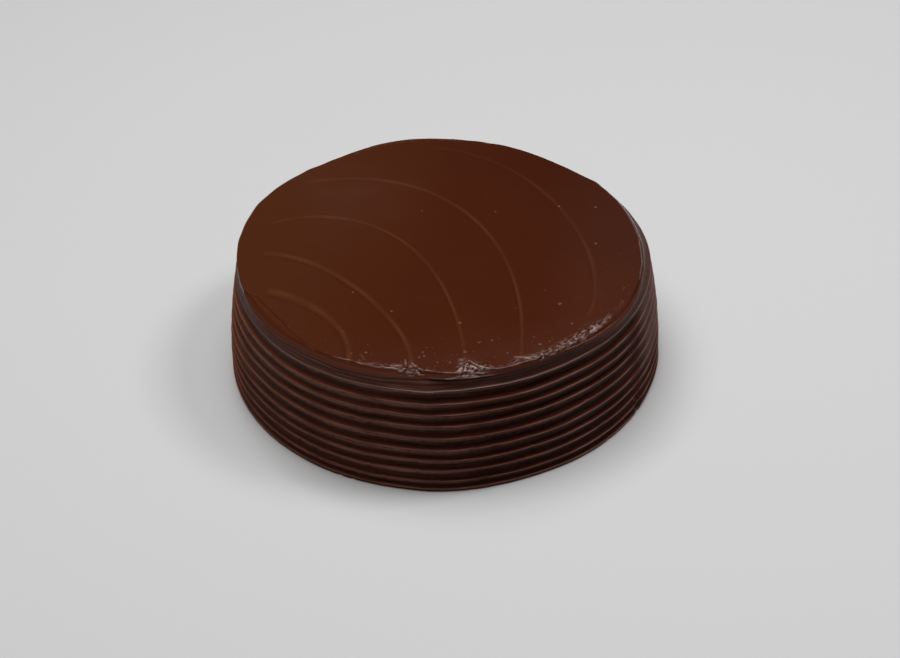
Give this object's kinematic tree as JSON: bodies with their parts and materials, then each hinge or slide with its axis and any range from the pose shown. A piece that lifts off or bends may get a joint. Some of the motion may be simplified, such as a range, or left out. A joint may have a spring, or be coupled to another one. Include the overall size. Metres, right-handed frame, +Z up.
{
  "type": "banana cake",
  "caption": "Whole round banana cake under chocolate frosting: comb-ridged side, uneven rim and a smooth top with low curved spatula sweeps. Stands on its flat base.",
  "frame": {"origin": "middle of the footprint, on the flat base the cake stands on", "axes": "+Z up; -Y towards the side where the spatula sweeps run out over the rim; +X to the right of it"},
  "size_m": [0.2168, 0.2168, 0.0645],
  "materials": {
    "chocolate_frosting": "satin dark chocolate frosting, smooth on top and combed on the side"
  },
  "bodies": {
    "root": {"frosted_cake": "chocolate_frosting"}
  },
  "joints": []
}
